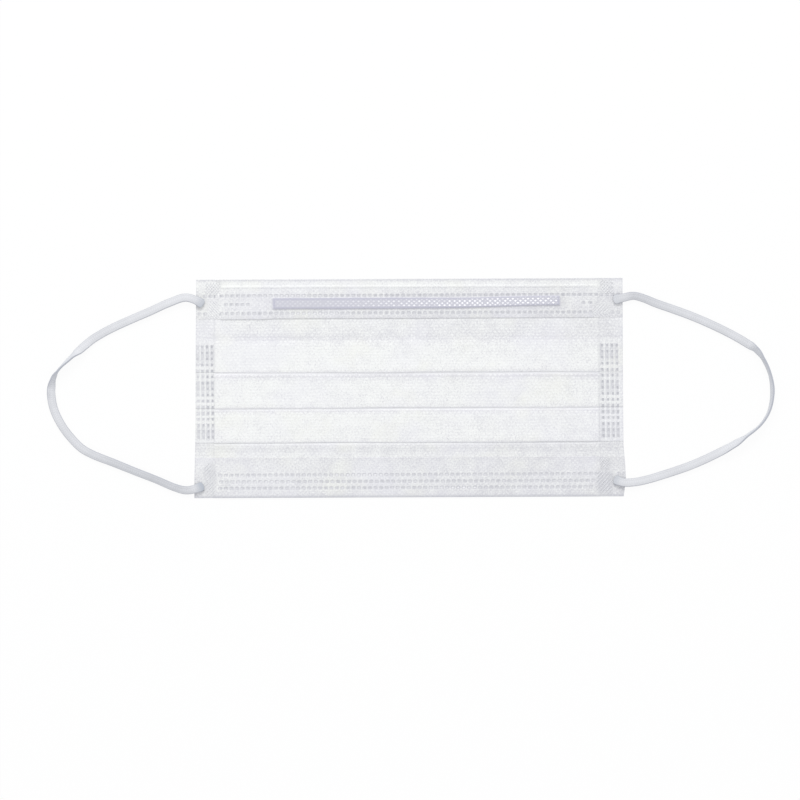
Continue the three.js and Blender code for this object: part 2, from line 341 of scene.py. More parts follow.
# %% Tree of the ribbon
def ribbon_tree():
    made = Tree(
        "elastic_ribbon",
        {
            "Width": LOOP_WIDTH,
            "Thickness": LOOP_THICKNESS,
            "Ring Points": 32,
            "Wales": 6.0,
            "Stitch Length": 0.9 * MM,
            "Stitch Height": 0.06 * MM,
            "Tip Width": 0.16,
            "Tip Thickness": -0.35,
        },
    )
    given = made.given
    curve = made.node("GeometryNodeMeshToCurve", {"Mesh": given["Seeds"]}).outputs["Curve"]
    place = made.node("GeometryNodeInputPosition").outputs["Position"]
    forward = made.node("GeometryNodeInputTangent").outputs["Tangent"]
    level = made.vector("NORMALIZE", made.vector("CROSS_PRODUCT", (0, 0, 1), forward))
    turned = made.node(
        "ShaderNodeVectorRotate",
        {"Vector": level, "Axis": forward, "Angle": made.read("turn")},
        rotation_type="AXIS_ANGLE",
    ).outputs["Vector"]
    travelled = made.node("GeometryNodeSplineParameter").outputs["Length"]
    curve = made.keep(curve, "along", travelled)
    curve = made.keep(curve, "middle", place, "FLOAT_VECTOR")
    curve = made.keep(curve, "outward", made.vector("CROSS_PRODUCT", forward, turned), "FLOAT_VECTOR")
    curve = made.keep(curve, "across", turned, "FLOAT_VECTOR")

    circle = made.node("GeometryNodeCurvePrimitiveCircle", {"Resolution": given["Ring Points"]})
    parts = made.node("ShaderNodeSeparateXYZ", [place]).outputs
    ring = circle.outputs["Curve"]
    for name, part, power in (("side", parts["X"], 0.75), ("rise", parts["Y"], 0.55)):
        size = made.math("POWER", made.math("ABSOLUTE", part), power)
        ring = made.keep(ring, name, made.times(made.math("SIGN", part), size))
    swept = made.node("GeometryNodeCurveToMesh", {"Curve": curve, "Profile Curve": ring, "Fill Caps": True})

    side = made.read("side")
    rise = made.read("rise")
    tip = made.read("tip")
    wale = made.times(side, made.times(given["Wales"], 0.5))
    in_wale = made.math("SUBTRACT", wale, made.math("ROUND", wale))
    rows_along = made.math("DIVIDE", made.read("along"), given["Stitch Length"])
    slant = made.math("MULTIPLY_ADD", in_wale, 0.8, rows_along)
    stitch = made.math("COSINE", made.times(slant, 2 * math.pi))
    wave = made.math("COSINE", made.times(in_wale, 2 * math.pi))
    knit = made.math("MULTIPLY_ADD", stitch, 0.55, made.times(wave, 0.45))
    unmelted = made.math("MULTIPLY_ADD", tip, -0.8, 1.0)
    bump = made.times(made.times(knit, given["Stitch Height"]), unmelted)
    bump = made.times(bump, rise)

    closing = made.read("closing")
    broad = made.times(made.math("MULTIPLY_ADD", tip, given["Tip Width"], 1.0), closing)
    thin = made.times(made.math("MULTIPLY_ADD", tip, given["Tip Thickness"], 1.0), closing)
    half_width = made.times(given["Width"], 0.5)
    half_thickness = made.times(given["Thickness"], 0.5)
    sideways = made.times(made.times(side, half_width), broad)
    outwards = made.times(made.times(rise, half_thickness), thin)
    outwards = made.math("ADD", outwards, bump)
    sideways = made.scaled(made.read("across", "FLOAT_VECTOR"), sideways)
    outwards = made.scaled(made.read("outward", "FLOAT_VECTOR"), outwards)
    spot = made.vector("ADD", made.read("middle", "FLOAT_VECTOR"), sideways)
    spot = made.vector("ADD", spot, outwards)
    moved = made.node("GeometryNodeSetPosition", {"Geometry": swept.outputs["Mesh"], "Position": spot})
    made.finish(made.keep(moved.outputs["Geometry"], "knit", knit))
    return made


# %% Make the two ribbons
LOOP_STEP = 0.15 * MM
LOOP_LIFT = 0.08 * MM
TIP_LENGTH = 4.5 * MM
CLOSING_LENGTH = 1.3 * MM
elastic_knit = bpy.data.materials.new("elastic_knit")
ribbons = ribbon_tree()


def ear_loop(name, rows, end_darkening):
    """Ribbon along the rows, its height worked out so that it rests on the table or the corner."""
    route = smooth_route(rows)
    route[:, :2] *= MM
    travelled = np.concatenate([[0], np.cumsum(np.hypot(*np.diff(route[:, :2], axis=0).T))])
    along = np.linspace(0, travelled[-1], int(round(travelled[-1] / LOOP_STEP)) + 1)
    x, y, lift, turn = (np.interp(along, travelled, route[:, column]) for column in range(4))
    turn = np.radians(turn)
    to_end = np.minimum(along, along[-1] - along)
    tip = 1 - smooth(0, TIP_LENGTH, to_end)
    # darker ends: partly the melted elastic, partly painted shade; the ribbon also gets painted shade where it
    # turns on edge
    dark = tip * np.where(along < along[-1] / 2, *end_darkening)
    dark = np.maximum(dark, 0.2 * np.sin(turn) ** 2)
    closing = 0.25 + 0.75 * np.sqrt(1 - np.clip(1 - to_end / CLOSING_LENGTH, 0, 1) ** 2)
    thickness = LOOP_THICKNESS * (1 - 0.35 * tip)
    standing = (np.abs(np.sin(turn)) * LOOP_WIDTH + np.abs(np.cos(turn)) * thickness) / 2
    middle = np.stack([x, y, standing + lift * CORNER_HEIGHT + LOOP_LIFT], axis=1)
    edges = [(number, number + 1) for number in range(len(middle) - 1)]
    values = {"turn": turn, "tip": tip, "closing": closing, "dark": dark}
    piece = grow(name, ribbons, middle, edges, values, {}, elastic_knit)
    mesh = piece.data
    store_map(mesh, read_values(mesh, "side") * LOOP_WIDTH / 2, read_values(mesh, "along"))
    length = float(np.linalg.norm(np.diff(middle, axis=0), axis=1).sum())
    print(name, "length", round(length, 4))
    return piece, middle, length


loops = {}
# how much darker each loop's two ends are painted: partly the melted elastic, partly painted shade where the
# end meets the panel
for loop_name, loop_rows, loop_end_darkening in (
    ("left_loop", LEFT_ROUTE, (0.5, 0.75)),
    ("right_loop", RIGHT_ROUTE, (0.15, 0.35)),
):
    loops[loop_name] = ear_loop(loop_name, loop_rows, loop_end_darkening)

# %% [markdown]
# ## The sheet's folds
#
# The three layers of nonwoven are folded as one sheet, so the whole panel follows one line: from the free
# edge of the top hem over the top, down the back, through three knife pleats and round the bottom into the
# lower hem. The line below is worked out from the pitch and depth of the pleats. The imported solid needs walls
# a millimetre thick, so it stands for the folded sheet as a thicker one. Here the sheet has its own thickness
# and its layers lie close together, as they do on a pressed mask.

# %% Sizes of the folds
SHEET = 0.25 * MM
LAYER_STEP = 0.29 * MM
FOLD_REACH = (LAYER_STEP + SHEET) / 2
TABLE_GAP = 0.02 * MM
PLEATS = 3
FOLD_OFFSETS = (0.0, 14.6 * MM, 28.7 * MM)
PLEAT_DEPTH = 11.2 * MM
SINGLE_STRIP = 3.2 * MM
TOP_HEM = 15.95 * MM
BOTTOM_HEM = 16.4 * MM
UPPER_BAND = 10.95 * MM
TOP_HEM_EDGE = TOP_EDGE - TOP_HEM
BOTTOM_HEM_EDGE = BOTTOM_EDGE + BOTTOM_HEM
FINE = 0.28 * MM
COARSE = 2.2 * MM
FOLD_FACETS = 9
SEAM = 3.0 * MM


def layer_height(layer):
    return TABLE_GAP + SHEET / 2 + layer * LAYER_STEP


def front_fold(pleat):
    return TOP_HEM_EDGE - UPPER_BAND - PLEAT_DEPTH - FOLD_OFFSETS[pleat]


def back_fold(pleat):
    return front_fold(pleat) + PLEAT_DEPTH


# %% The line of the sheet
class FoldLine:
    """Middle line of the folded sheet: y, z, direction, and whether the hidden side needs the row too."""

    def __init__(self):
        self.rows = []

    def point(self, y, z, along_y, along_z, keep):
        size = math.hypot(along_y, along_z)
        self.rows.append((y, z, along_y / size, along_z / size, keep))

    def straight(self, to_y, step):
        y, z = self.rows[-1][:2]
        count = max(1, round(abs(to_y - y) / step))
        for number in range(1, count + 1):
            there = y + (to_y - y) * number / count
            self.point(there, z, to_y - y, 0, number % 4 == 0 or number == count or step == COARSE)

    def slope(self, to_y, to_z, step):
        y, z = self.rows[-1][:2]
        count = max(4, round(abs(to_y - y) / step))
        for number in range(1, count + 1):
            share = number / count
            rise = share * share * (3 - 2 * share)
            steep = 6 * share * (1 - share)
            there = y + (to_y - y) * share
            self.point(there, z + (to_z - z) * rise, to_y - y, (to_z - z) * steep, number % 2 == 0)

    def fold(self, edge, outward, to_z):
        z = self.rows[-1][1]
        radius = abs(to_z - z) / 2
        middle_z = (z + to_z) / 2
        middle_y = edge - outward * (radius + SHEET / 2)
        for number in range(FOLD_FACETS + 1):
            angle = math.pi * number / FOLD_FACETS
            self.point(
                middle_y + outward * radius * math.sin(angle),
                middle_z + (z - middle_z) * math.cos(angle),
                outward * radius * math.cos(angle),
                (middle_z - z) * math.sin(angle),
                number % 3 == 0,
            )


line = FoldLine()
line.point(TOP_HEM_EDGE, layer_height(1), 1, 0, True)
line.straight(TOP_EDGE - FOLD_REACH, FINE)
line.fold(TOP_EDGE, 1, layer_height(0))
line.straight(TOP_EDGE - FOLD_REACH - SEAM, SEAM / 2)
top_seam = len(line.rows) - 1
line.straight(TOP_HEM_EDGE + 1 * MM, COARSE)
for pleat in range(PLEATS):
    climb = front_fold(pleat - 1) if pleat else back_fold(0) + SINGLE_STRIP
    line.straight(climb + FOLD_REACH, FINE if pleat == 0 else COARSE)
    line.slope(back_fold(pleat) - FOLD_REACH, layer_height(2), FINE)
    line.straight(front_fold(pleat) + FOLD_REACH, FINE)
    line.fold(front_fold(pleat), -1, layer_height(1))
    line.straight(back_fold(pleat) - FOLD_REACH, COARSE)
    line.fold(back_fold(pleat), 1, layer_height(0))
line.straight(front_fold(PLEATS - 1) + FOLD_REACH, COARSE)
line.slope(front_fold(PLEATS - 1) - 0.9 * MM, layer_height(0.7), FINE)
line.slope(front_fold(PLEATS - 1) - 4.0 * MM, layer_height(0), FINE)
line.straight(BOTTOM_HEM_EDGE - 1 * MM, FINE)
line.straight(BOTTOM_EDGE + FOLD_REACH + SEAM, COARSE)
bottom_seam = len(line.rows) - 1
line.straight(BOTTOM_EDGE + FOLD_REACH, SEAM / 2)
line.fold(BOTTOM_EDGE, -1, layer_height(1))
line.straight(BOTTOM_HEM_EDGE, FINE)
last_row = len(line.rows) - 1
line_rows = np.array([row[:4] for row in line.rows])
line_keep = np.array([row[4] for row in line.rows])
line_length = np.concatenate([[0], np.cumsum(np.hypot(*np.diff(line_rows[:, :2], axis=0).T))])

# %% [markdown]
# ## Welds
#
# The welds are made by knurled wheels and horns that press small pockets into the cloth. Each kind is one
# row of a small table: where it starts, where it ends and how far apart the pockets lie. The tables are
# read twice: the cloth is pressed in at each pocket, and a glazed film is laid in the pocket's bottom.

# %% Tables of the welds
POCKET = (0.74 * MM, 0.58 * MM)
POCKET_DEPTH = 0.17 * MM
HEM_WELD_PITCH = 2.262 * MM

# y, first and last pocket, shade of the film, middle and half length of a stretch with paler film
TOP_ROWS = (
    (37.65, -83.8, 85.6, 0.25, -50, 15),
    (34.05, -77.4, -66.0, 0.45, 0, 1),
    (34.3, 71.4, 77.0, 0.3, 0, 1),
    (30.45, -86.0, 85.6, 0.3, -40, 12),
)
BOTTOM_ROWS = (
    (-35.65, -77.0, 87.0, 0.5, -20, 10),
    (-38.35, -76.6, 76.6, 0.45, -60, 10),
    (-40.95, -77.0, 76.0, 0.45, 20, 10),
)

SIDE_POCKET = (0.66 * MM, 0.86 * MM)
SIDE_POCKET_DEPTH = 0.16 * MM
SIDE_ROW_TOP = 19.45 * MM
SIDE_ROW_PITCH = 2.466 * MM
SIDE_LEAN = 0.013
SIDE_STRENGTH = (0.35, 1, 1, 1, 1, 1, 0.55, 1, 1, 1, 1, 1, 1, 1, 1, 1, 1, 0.3, 0.2, 0.3, 0.2)

# column in millimetres and shade of its film, from the panel's edge inwards and outwards
SIDE_COLUMNS = {
    "left": ((-86.7, 0.45), (-84.75, 0.3), (-82.75, 0.1), (-80.8, -0.1)),
    "right": ((78.75, -0.15), (80.85, 0.1), (82.85, 0.15), (84.8, 0.1)),
}
SIDE_INNER = {"left": -79.9 * MM, "right": 77.9 * MM}

# name, middle and half size in millimetres, direction and pitch of the ridges, how glazed it looks
PATCHES = (
    ("top_left", (-80.2, 40.8), (3.4, 2.7), "crossed", 0.9, 0.0),
    ("top_left_low", (-79.9, 30.9), (2.8, 5.2), "falling", 0.82, 0.0),
    ("top_right", (80.8, 40.9), (3.0, 3.1), "crossed", 0.9, 0.2),
    ("top_right_low", (78.7, 31.0), (3.7, 3.4), "arrow", 0.95, 0.2),
    ("bottom_left", (-81.6, -37.4), (2.7, 7.1), "rising", 0.98, 0.5),
    ("bottom_right", (79.5, -39.2), (3.6, 5.1), "rising", 1.05, 1.0),
    ("bottom_right_high", (79.8, -31.4), (2.2, 2.8), "crossed", 0.8, 0.6),
)


def in_patch(x, y, glazing=False):
    """1 inside a corner patch, or how glazed it is there, falling softly to 0 outside."""
    inside = np.zeros(np.broadcast(x, y).shape)
    for _, middle, half, _, _, glazed in PATCHES:
        away = reach(x, y, (middle[0] * MM, middle[1] * MM), (half[0] * MM, half[1] * MM))
        inside = np.maximum(inside, (1 - smooth(0.65, 1.25, away)) * (glazed if glazing else 1))
    return inside


def hem_welds():
    """x, y, strength and shade of every pocket in the two hems, clear of the corner patches."""
    rows = []
    for y, first, last, shade, pale, pale_half in TOP_ROWS + BOTTOM_ROWS:
        count = int(round((last - first) * MM / HEM_WELD_PITCH)) + 1
        for x in np.linspace(first, last, count):
            if in_patch(np.array(x * MM), np.array(y * MM)) < 0.4:
                rows.append((x * MM, y * MM, 1.0, shade + 0.6 * float(hill(x, pale, pale_half))))
    return np.array(rows)


def side_welds(side):
    """The same for one side weld. The columns lean a little, as the photograph shows."""
    rows = []
    for number, strength in enumerate(SIDE_STRENGTH):
        y = SIDE_ROW_TOP - number * SIDE_ROW_PITCH
        for x, shade in SIDE_COLUMNS[side]:
            rows.append((x * MM + SIDE_LEAN * (SIDE_ROW_TOP - y), y, strength, shade))
    return np.array(rows)


hem_pockets = hem_welds()
side_pockets = np.vstack([side_welds("left"), side_welds("right")])
print("pockets in the hems", len(hem_pockets), "and in the side welds", len(side_pockets))

# %% [markdown]
# ## Relief of the cloth
#
# Each function gives, for a block of points, how the cloth is pushed in or lifted and how white it looks
# there. Cloth looks whiter where more layers lie under it, and greyer and glassy where it is fused. The
# whiteness also holds painted shade just under the folds and in a dent, and painted light along the folds'
# creases.

# %% Shape of the pressed cloth
WIRE_MIDDLE = (2.9 * MM, 34.5 * MM)
WIRE_HALF = (58.75 * MM, 2.3 * MM)
WIRE_THICKNESS = 0.5 * MM
WIRE_RISE = 0.5 * MM
WIRE_BEND = 0.8 * MM
SIDE_KEEP = 0.22
PATCH_KEEP = 0.5
LEFT_LIFT = 0.12
RIGHT_DARKENING = 0.25
CUT_DARKENING = 0.3

# share of the height from the top, how far the left and right edges stand out, in millimetres
EDGE_TABLE = np.array(
    (
        (0.00, -0.5, -0.2),
        (0.50, 0.0, -0.2),
        (0.76, 0.2, -0.1),
        (0.86, 0.45, 0.6),
        (0.92, 0.6, 0.85),
        (1.00, 0.6, -0.1),
    )
)


def in_side_weld(x):
    left = 1 - smooth(SIDE_INNER["left"] - 0.4 * MM, SIDE_INNER["left"] + 1.0 * MM, x)
    right = smooth(SIDE_INNER["right"] - 1.0 * MM, SIDE_INNER["right"] + 0.4 * MM, x)
    return np.maximum(left, right)


def keep_height(x, y):
    """How much of its loose height the stack of layers keeps: less in the side welds and corner patches."""
    keep = 1 - (1 - SIDE_KEEP) * in_side_weld(x)
    return np.minimum(keep, 1 - (1 - PATCH_KEEP) * in_patch(x, y))


def wire_line(x):
    """The wire's middle line, which bends up a little towards the right."""
    return WIRE_MIDDLE[1] + WIRE_BEND * smooth(15 * MM, 60 * MM, x)


def wire_bulge(x, y, soft=0.32 * MM):
    """The hem stands up over the nose wire."""
    narrowing = 0.35 * MM * smooth(-20 * MM, 60 * MM, x)
    across = smooth(-2 * soft, 2 * soft, WIRE_HALF[0] - np.abs(x - WIRE_MIDDLE[0]))
    along = smooth(-soft, soft, WIRE_HALF[1] - narrowing - np.abs(y - wire_line(x)))
    return across * along


def wire_core(x, y):
    """The middle of the wire, where the colour gets painted glints; outside it the strip gets painted shade."""
    across = smooth(-0.2 * MM, 0.2 * MM, WIRE_HALF[0] - 1 * MM - np.abs(x - WIRE_MIDDLE[0]))
    return across * smooth(-0.2 * MM, 0.2 * MM, 1.45 * MM - np.abs(y - wire_line(x)))


def pressed(x, y, welds, half):
    """Depth of the pockets, the steep walls round them and the ridges between them, all from 0 to 1."""
    depth = np.zeros(np.broadcast(x, y).shape)
    walls = np.zeros(depth.shape)
    ridges = np.zeros(depth.shape)
    columns = x[:, 0]
    for px, py, strength, _ in welds:
        near = np.flatnonzero(np.abs(columns - px) < 2.2 * half[0])
        if len(near):
            window = slice(near[0], near[-1] + 1)
            away = reach(x[window], y[window], (px, py), half)
            depth[window] = np.maximum(depth[window], strength * (1 - smooth(0.7, 1.15, away)))
            walls[window] = np.maximum(walls[window], strength * hill(away, 0.92, 0.26))
            ridges[window] = np.maximum(ridges[window], strength * hill(away, 1.55, 0.32))
    return depth, walls, ridges


def waviness(x, y):
    """Low swells of the loose cloth, from a few fixed waves."""
    wave = np.sin(41 * x + 70 * y + 0.6) + 0.7 * np.sin(73 * x - 55 * y + 2.1)
    wave = wave + 0.5 * np.sin(127 * x + 160 * y + 4.0)
    return wave / 2.2


def edge_stretch(x, y):
    """Moves the side edges in and out as in the photograph."""
    share = (TOP_EDGE - y) / (TOP_EDGE - BOTTOM_EDGE)
    left = np.interp(share, EDGE_TABLE[:, 0], EDGE_TABLE[:, 1]) * MM
    right = np.interp(share, EDGE_TABLE[:, 0], EDGE_TABLE[:, 2]) * MM
    weight = np.clip(np.abs(x) / (PANEL_WIDTH / 2), 0, 1) ** 2
    return x + np.where(x < 0, -left, right) * weight


def tone_of(y, table):
    """Whiteness of the cloth by height, from a table of height in millimetres and whiteness."""
    table = np.array(table)
    return np.interp(-y, -table[:, 0] * MM, table[:, 1])


def cut_edge(x):
    """The cut side edges look a little darker."""
    return smooth(PANEL_WIDTH / 2 - 0.7 * MM, PANEL_WIDTH / 2 - 0.1 * MM, np.abs(x))


def folded_rim(y):
    """Darker, with the fused film's colour and gloss, along the folds of the top and bottom edges, the bottom
    one most.
    """
    upper = smooth(TOP_EDGE - 1.1 * MM, TOP_EDGE - 0.5 * MM, y)
    return 0.4 * upper + smooth(1.4 * MM, 0.3 * MM, y - BOTTOM_EDGE)


def painted_crease_light(y, edge):
    """Painted light: a pale band along a fold's edge and just under it, where shade would fall."""
    return hill(y, edge - 0.3 * MM, 0.55 * MM) * smooth(edge + 0.1 * MM, edge - 0.1 * MM, y)


def side_tone(x):
    """The cut side edges look darker, and so does the side that lies further from the lamp."""
    across = smooth(-88 * MM, 88 * MM, x)
    return LEFT_LIFT - CUT_DARKENING * cut_edge(x) - RIGHT_DARKENING * across


# %% Relief of the hems
# depths and heights of the cloth's low forms
BANK = 0.03 * MM
PATCH_PRESS = 0.05 * MM
HEM_SWELL = 0.06 * MM
HEM_SAG = 0.28 * MM
BANK_WHITE = 0.3
PATCH_WHITE = 0.35
PAST_WIRE_WHITE = 0.42
CREST = 41.25 * MM
CREST_HEIGHT = 0.2 * MM
TOP_HEM_TONES = (
    (44.0, 0.2), (43.5, 0.55), (43.0, 0.85), (41.3, 1.0), (40.8, 0.55), (39.8, 0.55), (38.9, 0.4),
    (38.0, 0.2), (37.0, 0.0), (32.2, 0.1), (31.2, 0.3), (30.1, 0.35), (29.5, 0.05), (28.6, 0.1),
)
BOTTOM_HEM_TONES = (
    (-28.4, 0.4), (-29.0, 0.15), (-29.6, 0.3), (-31.0, 0.38), (-33.5, 0.38), (-43.0, 0.28),
    (-43.9, 0.1), (-44.5, -0.1),
)


def hem_relief(x, y, z):
    """Pockets, the pressed corners, the bulge over the wire and the crest along the top of a hem."""
    depth, walls, ridges = pressed(x, y, hem_pockets, POCKET)
    inside = in_patch(x, y)
    on_top = (z > layer_height(0.6)).astype(float)
    upper = on_top * (y > 0)
    bulge = wire_bulge(x, y) * upper
    clear = smooth(0, 4 * MM, x - SIDE_INNER["left"]) * smooth(0, 4 * MM, SIDE_INNER["right"] - x)
    crest = CREST_HEIGHT * hill(y, CREST, 0.42 * MM) * upper * clear
    swell = HEM_SWELL * (waviness(x, y) + 1) * on_top * (1 - inside)
    sag = smooth(-62 * MM, -54 * MM, x) - 1
    drift = HEM_SAG * sag * hill(y, TOP_HEM_EDGE, 1.6 * MM) * upper
    white = np.where(y > 0, tone_of(y, TOP_HEM_TONES), tone_of(y, BOTTOM_HEM_TONES))
    past_wire = smooth(0.5 * MM, 5 * MM, np.abs(x - WIRE_MIDDLE[0]) - WIRE_HALF[0])
    white = white + PAST_WIRE_WHITE * past_wire * hill(y, WIRE_MIDDLE[1], 3.2 * MM)
    return {
        "relief": -POCKET_DEPTH * depth + BANK * ridges - PATCH_PRESS * inside,
        "lift": bulge * WIRE_RISE + crest + swell,
        "drift": drift,
        "white": white + BANK_WHITE * ridges + PATCH_WHITE * inside + side_tone(x),
        "weld": np.maximum(walls, np.maximum(in_patch(x, y, True), folded_rim(y))),
        "painted_crease_light": 0.2 * painted_crease_light(y, TOP_HEM_EDGE),
        "turned": 0.0,
        "wire": bulge,
        "core": wire_core(x, y) * upper,
    }


# %% Relief of the pleated sheet
SHEET_SWELL = 0.05 * MM
FOLD_SWELL = 0.06 * MM
FOLD_WANDER = 0.1 * MM
# how strong the painted light is along each fold's crease
FOLD_PAINTED_LIGHT = (1.0, 1.0, 0.5)
BORDER_PRESS = 0.06 * MM
DENT_PRESS = 0.12 * MM
DENT_MIDDLE = (-53 * MM, 20.6 * MM)
DENT_HALF = (20 * MM, 1.2 * MM)
SIDE_TONE = 0.65
# whiteness by height: higher over three layers, lower over one, with painted shade in the narrow bands just
# under each fold line and round the dent
SHEET_TONES = (
    (28.6, 0.5), (27.8, 0.6), (22.0, 0.50), (21.0, 0.35), (20.3, 0.20), (19.5, 0.25), (18.9, 0.45),
    (17.8, 0.7), (16.6, 0.95), (8.0, 1.0), (7.2, 0.8), (6.7, 0.6), (5.9, -0.15), (5.2, -0.1),
    (4.3, 0.05), (3.3, 0.5), (2.2, 0.9), (-6.4, 0.9), (-7.2, 0.8), (-7.9, 0.55), (-8.6, -0.1),
    (-9.6, 0.1), (-11.2, 0.88), (-20.6, 0.88), (-21.4, 0.75), (-22.1, 0.5), (-22.5, 0.4),
    (-25.5, 0.4), (-27.4, 0.65), (-28.4, 0.75),
)


def pleat_relief(x, y, z):
    """Side pockets, the crowned pleats and the wander of their fold lines."""
    depth, walls, ridges = pressed(x, y, side_pockets, SIDE_POCKET)
    front = smooth(layer_height(0.2), layer_height(1.6), z)
    swell = SHEET_SWELL * waviness(x, y) * front
    drift = np.zeros(x.shape)
    in_side = in_side_weld(x)
    pale = 0.2 * painted_crease_light(y, TOP_HEM_EDGE)
    for pleat, painted_light_share in enumerate(FOLD_PAINTED_LIGHT):
        near = hill(y, front_fold(pleat) + 1.2 * MM, 2.2 * MM)
        pale = np.maximum(pale, painted_light_share * painted_crease_light(y, front_fold(pleat)))
        wander = np.sin(57 * x + 1.7 * pleat) + 0.6 * np.sin(139 * x + 2.9 * pleat)
        drift = drift + FOLD_WANDER * wander * near * front
        swell = swell + FOLD_SWELL * (1 + np.sin(33 * x + 2.3 * pleat + 1.0)) * near * front
    dent = hill(x, DENT_MIDDLE[0], DENT_HALF[0]) * hill(y, DENT_MIDDLE[1], DENT_HALF[1])
    border = hill(x, SIDE_INNER["left"], 0.35 * MM) + hill(x, SIDE_INNER["right"], 0.35 * MM)
    in_cells = in_side * smooth(-22.4 * MM, -21.6 * MM, y) * smooth(20.4 * MM, 19.8 * MM, y)
    white = tone_of(y, SHEET_TONES) * (1 - in_cells) + SIDE_TONE * in_cells - 0.1 * (in_side - in_cells)
    return {
        "relief": -SIDE_POCKET_DEPTH * depth + BANK * ridges - BORDER_PRESS * border,
        "lift": swell - DENT_PRESS * dent * front,
        "drift": drift,
        # the dent is painted darker as well: painted shade
        "white": white + 0.35 * ridges - 0.4 * dent + side_tone(x),
        # the groove along each side weld's inner border gets the fused colour as painted shade
        "weld": np.maximum(walls, 0.35 * border),
        "painted_crease_light": pale * (1 - in_side),
        "turned": 1 - in_side,
        "wire": np.zeros(x.shape),
        "core": np.zeros(x.shape),
    }


# %% [markdown]
# ## Cloth pieces
#
# The panel is built as three closed pieces that butt on the back, close under the top and bottom edges: the
# top hem, the pleated sheet and the bottom hem. The hems need narrow columns for their welds, and the
# pleated sheet needs them only in its side welds. Each piece is a ring round the strip's thickness, with
# fine rows on the side that shows and sparse ones on the other.

# %% Build a stretch of the sheet
FINE_BAND = 11.5 * MM
COLUMN = 0.25 * MM
WIDE_COLUMN = 1.25 * MM


def sheet_columns(middle_step):
    """Columns across the panel: close together in the side welds, wider in the middle."""
    half = PANEL_WIDTH / 2
    inner = half - FINE_BAND
    left = np.linspace(-half, -inner, int(round(FINE_BAND / COLUMN)) + 1)
    middle = np.linspace(-inner, inner, int(round(2 * inner / middle_step)) + 1)
    return np.concatenate([left, middle[1:-1], -left[::-1]])


# the rounded edge of a hem has three points, at these angles
ROUND_ANGLES = np.radians((50.0, 0.0, -50.0))
ROUND_RISE = np.sin(ROUND_ANGLES)
ROUND_OUT = np.cos(ROUND_ANGLES)


def strip_ring(start, end, round_start, round_end):
    """Rows, side and overhang of each ring point, and the small faces that close the ring's inside."""
    there = np.arange(start, end + 1)
    keep = line_keep[start : end + 1].copy()
    keep[0] = keep[-1] = True
    back = there[keep][::-1]
    cap_end = [np.full(3, end), ROUND_RISE, ROUND_OUT] if round_end else [np.array([], int)] * 3
    cap_start = [np.full(3, start), -ROUND_RISE, -ROUND_OUT] if round_start else [np.array([], int)] * 3
    rows = np.concatenate([there, cap_end[0], back, cap_start[0]]).astype(int)
    side = np.concatenate([np.ones(len(there)), cap_end[1], -np.ones(len(back)), cap_start[1]])
    overhang = np.concatenate([np.zeros(len(there)), cap_end[2], np.zeros(len(back)), cap_start[2]])
    first_back = len(there) + len(cap_end[0])
    faces = []
    for number in range(len(back) - 1):
        upper = back[number] - start
        lower = back[number + 1] - start
        faces.append(list(range(lower, upper + 1)) + [first_back + number, first_back + number + 1])
    if round_end:
        faces.append(list(range(len(there) - 1, first_back + 1)))
    if round_start:
        faces.append(list(range(len(rows) - 4, len(rows))) + [0])
    return rows, side, overhang, faces


def sheet_piece(name, start, end, columns, fine_side, relief, round_start=False, round_end=False):
    """The line from row start to row end. fine_side is 1 for the lining and -1 for the outside."""
    rows, side, overhang, faces = strip_ring(start, end, round_start, round_end)
    thick = SHEET / 2
    along_y = line_rows[rows, 2]
    along_z = line_rows[rows, 3]
    x = np.repeat(columns[:, None], len(rows), axis=1)
    y = np.repeat((line_rows[rows, 0] + along_y * overhang * thick)[None, :], len(columns), axis=0)
    z = np.repeat((line_rows[rows, 1] + along_z * overhang * thick)[None, :], len(columns), axis=0)
    outer = np.clip(side * fine_side, 0, 1)
    fields = relief(x, y, z)
    pushed = side * thick + side * fields["relief"] * outer
    y = y - along_z * pushed
    z = z + along_y * pushed + fields["lift"]
    z = z * keep_height(x, y)
    y = y + fields["drift"]
    piece = ring_block(name, np.stack([edge_stretch(x, y), y, z], axis=-1), faces)
    store_map(piece.data, x, np.repeat(line_length[rows][None, :], len(columns), axis=0))
    store_values(piece.data, "white", fields["white"])
    # painted light on the steep faces of the folds, where shade would fall
    steep = smooth(0.5, 0.9, np.abs(along_z))[None, :]
    pale = np.maximum(fields["painted_crease_light"], fields["turned"] * steep)
    store_values(piece.data, "painted_crease_light", pale)
    for key in ("weld", "wire", "core"):
        store_values(piece.data, key, fields[key] * outer)
    return piece


# %% Make the three cloth pieces
hem_columns = sheet_columns(COLUMN)
top_hem = sheet_piece("top_hem", 0, top_seam, hem_columns, 1, hem_relief, round_start=True)
bottom_hem = sheet_piece("bottom_hem", bottom_seam, last_row, hem_columns, 1, hem_relief, round_end=True)
wide_columns = sheet_columns(WIDE_COLUMN)
pleated_sheet = sheet_piece("pleated_sheet", top_seam, bottom_seam, wide_columns, -1, pleat_relief)

# %% [markdown]
# ## Nose wire
#
# The wire is a flat strip of coated steel between the hem and the sheet. It only shows through the hem, but
# it is there: a flat bar with round edges and cut ends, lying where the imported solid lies.

# %% Nose wire
def nose_strip():
    angle = np.linspace(0, 2 * np.pi, 24, endpoint=False)
    side = WIRE_HALF[1] - WIRE_THICKNESS / 2 - 0.3 * MM
    y = np.sign(np.cos(angle)) * side * (np.abs(np.cos(angle)) > 0.2) + np.cos(angle) * WIRE_THICKNESS / 2
    z = np.sin(angle) * WIRE_THICKNESS / 2
    x = WIRE_MIDDLE[0] + np.linspace(-WIRE_HALF[0], WIRE_HALF[0], 60)
    rest = layer_height(0) + SHEET / 2 + 0.03 * MM + WIRE_THICKNESS / 2
    block = np.empty((len(x), len(angle), 3))
    block[..., 0] = x[:, None]
    block[..., 1] = wire_line(x)[:, None] + y[None, :]
    block[..., 2] = rest + z[None, :]
    return ring_block("nose_strip", block)


